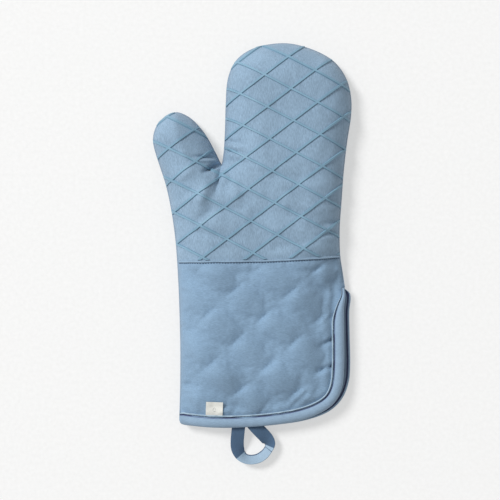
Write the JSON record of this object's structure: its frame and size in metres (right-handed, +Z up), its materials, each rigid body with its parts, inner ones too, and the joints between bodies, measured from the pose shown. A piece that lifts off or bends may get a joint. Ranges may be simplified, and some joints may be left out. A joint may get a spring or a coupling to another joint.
{
  "type": "oven mitt",
  "caption": "Quilted fabric oven mitt with a separate thumb, a raised silicone grip lattice, a bound side-slit cuff, a folded label and a hanging loop, lying on its back.",
  "frame": {"origin": "centre of the bounding box at its bottom, on the surface that the mitt lies on", "axes": "+Z up out of the face that lies uppermost; +Y from the cuff towards the fingertips; +X away from the thumb"},
  "size_m": [0.1701, 0.3618, 0.0353],
  "materials": {
    "cloth": "woven, soft slate-blue",
    "lattice": "matt moulded silicone",
    "wadding": "soft fibre wadding",
    "lining": "woven, matt",
    "binding": "woven tape, matt",
    "thread": "sewing thread",
    "loop": "woven tape, matt",
    "label": "folded woven label"
  },
  "bodies": {
    "shell": {"back_binding": "binding", "back_binding_thread": "thread", "back_cloth_cuff": "cloth", "back_cloth_palm": "cloth", "back_lattice_palm": "lattice", "back_lining_palm": "lining", "back_wadding_palm": "wadding", "back_yoke_thread": "thread", "front_cloth_cuff": "cloth", "front_cloth_palm": "cloth", "front_lattice_palm": "lattice", "front_lining_palm": "lining", "front_wadding_palm": "wadding", "front_yoke_thread": "thread"},
    "fingers": {"back_cloth_fingers": "cloth", "back_lattice_fingers": "lattice", "back_lining_fingers": "lining", "back_wadding_fingers": "wadding", "front_cloth_fingers": "cloth", "front_lattice_fingers": "lattice", "front_lining_fingers": "lining", "front_wadding_fingers": "wadding"},
    "thumb": {"back_cloth_thumb": "cloth", "back_lattice_thumb": "lattice", "back_lining_thumb": "lining", "back_wadding_thumb": "wadding", "front_cloth_thumb": "cloth", "front_lattice_thumb": "lattice", "front_lining_thumb": "lining", "front_wadding_thumb": "wadding"},
    "front_flap": {"front_binding": "binding", "front_binding_thread": "thread", "front_cloth_flap": "cloth", "front_lining_flap": "lining", "front_wadding_flap": "wadding"},
    "hanging_loop": {"hanging_loop": "loop"},
    "label": {"label": "label"}
  },
  "joints": [
    {"name": "finger_fold", "type": "hinge", "parent": "shell", "child": "fingers", "pos_m": [0.03, 0.092, 0.0356], "axis": [1, 0, 0], "range_deg": [0, 70]},
    {"name": "thumb_fold", "type": "hinge", "parent": "shell", "child": "thumb", "pos_m": [-0.0264, 0.0765, 0.03251], "axis": [0.9397, 0.342, 0], "range_deg": [0, 60]},
    {"name": "flap_lift", "type": "hinge", "parent": "shell", "child": "front_flap", "pos_m": [-0.0624, -0.1436, 0.03295], "axis": [-0.778, -0.6283, 0], "range_deg": [0, 45]},
    {"name": "loop_swing", "type": "hinge", "parent": "front_flap", "child": "hanging_loop", "pos_m": [-0.0029, -0.1498, 0.0146], "axis": [-1, 0, 0], "range_deg": [0, 105]},
    {"name": "label_flip", "type": "hinge", "parent": "front_flap", "child": "label", "pos_m": [-0.0326, -0.138, 0.02397], "axis": [0.999, -0.0436, 0], "range_deg": [0, 110]}
  ]
}
